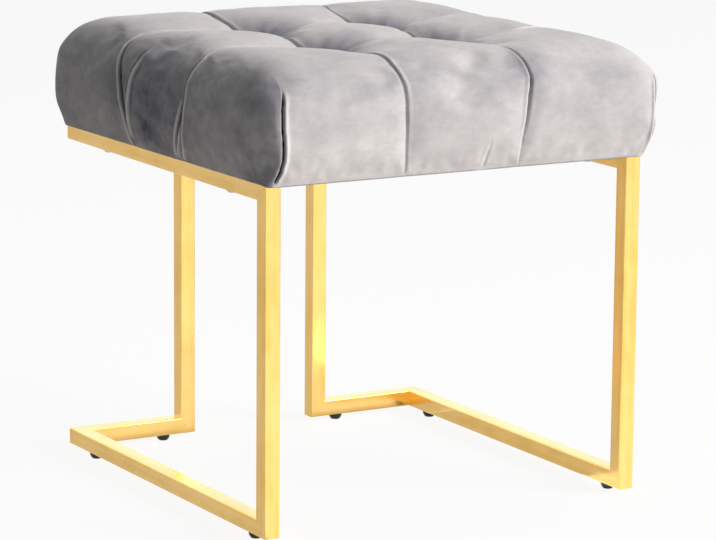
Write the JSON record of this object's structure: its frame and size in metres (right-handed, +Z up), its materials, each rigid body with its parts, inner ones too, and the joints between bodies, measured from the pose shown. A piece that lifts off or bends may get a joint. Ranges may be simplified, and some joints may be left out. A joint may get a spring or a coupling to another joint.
{
  "type": "upholstered stool",
  "caption": "Square stool with a deep tufted velvet seat on folded loops of gold square tube, standing on small black screw-in feet.",
  "frame": {"origin": "on the floor, under the middle of the stool's bounding box", "axes": "+Z up, +X towards the stool's right side, -Y towards its open front"},
  "size_m": [0.5002, 0.5242, 0.514],
  "materials": {
    "gold_tube": "polished",
    "grey_velvet": "matte",
    "black_plastic": "satin",
    "zinc_steel": "satin",
    "plywood": "matte",
    "white_wadding": "matte",
    "cream_foam": "matte",
    "black_cambric": "matte",
    "waxed_twine": "matte"
  },
  "bodies": {
    "stool": {"left_front_leg": "gold_tube", "left_top_rail": "gold_tube", "left_top_return": "gold_tube", "left_back_leg": "gold_tube", "left_bottom_return": "gold_tube", "left_bottom_rail": "gold_tube", "right_front_leg": "gold_tube", "right_top_rail": "gold_tube", "right_top_return": "gold_tube", "right_back_leg": "gold_tube", "right_bottom_return": "gold_tube", "right_bottom_rail": "gold_tube", "foot_nuts": "zinc_steel", "seat_bolts": "zinc_steel", "seat_bolt_washers": "zinc_steel", "seat_t_nuts": "zinc_steel", "tuft_tie_washers": "zinc_steel", "hem_staples": "zinc_steel", "dust_cover_staples": "zinc_steel", "seat_board": "plywood", "seat_cover": "grey_velvet", "seat_wadding": "white_wadding", "seat_foam": "cream_foam", "dust_cover": "black_cambric", "tuft_ties": "waxed_twine"},
    "foot_left_front": {"foot_pad_left_front": "black_plastic", "foot_stem_left_front": "zinc_steel"},
    "foot_left_back": {"foot_pad_left_back": "black_plastic", "foot_stem_left_back": "zinc_steel"},
    "foot_left_return": {"foot_pad_left_return": "black_plastic", "foot_stem_left_return": "zinc_steel"},
    "foot_right_front": {"foot_pad_right_front": "black_plastic", "foot_stem_right_front": "zinc_steel"},
    "foot_right_back": {"foot_pad_right_back": "black_plastic", "foot_stem_right_back": "zinc_steel"},
    "foot_right_return": {"foot_pad_right_return": "black_plastic", "foot_stem_right_return": "zinc_steel"}
  },
  "joints": [
    {"name": "foot_left_front_level", "type": "slide", "parent": "stool", "child": "foot_left_front", "axis": [0, 0, -1], "range_m": [0, 0.008]},
    {"name": "foot_left_back_level", "type": "slide", "parent": "stool", "child": "foot_left_back", "axis": [0, 0, -1], "range_m": [0, 0.008]},
    {"name": "foot_left_return_level", "type": "slide", "parent": "stool", "child": "foot_left_return", "axis": [0, 0, -1], "range_m": [0, 0.008]},
    {"name": "foot_right_front_level", "type": "slide", "parent": "stool", "child": "foot_right_front", "axis": [0, 0, -1], "range_m": [0, 0.008]},
    {"name": "foot_right_back_level", "type": "slide", "parent": "stool", "child": "foot_right_back", "axis": [0, 0, -1], "range_m": [0, 0.008]},
    {"name": "foot_right_return_level", "type": "slide", "parent": "stool", "child": "foot_right_return", "axis": [0, 0, -1], "range_m": [0, 0.008]}
  ]
}
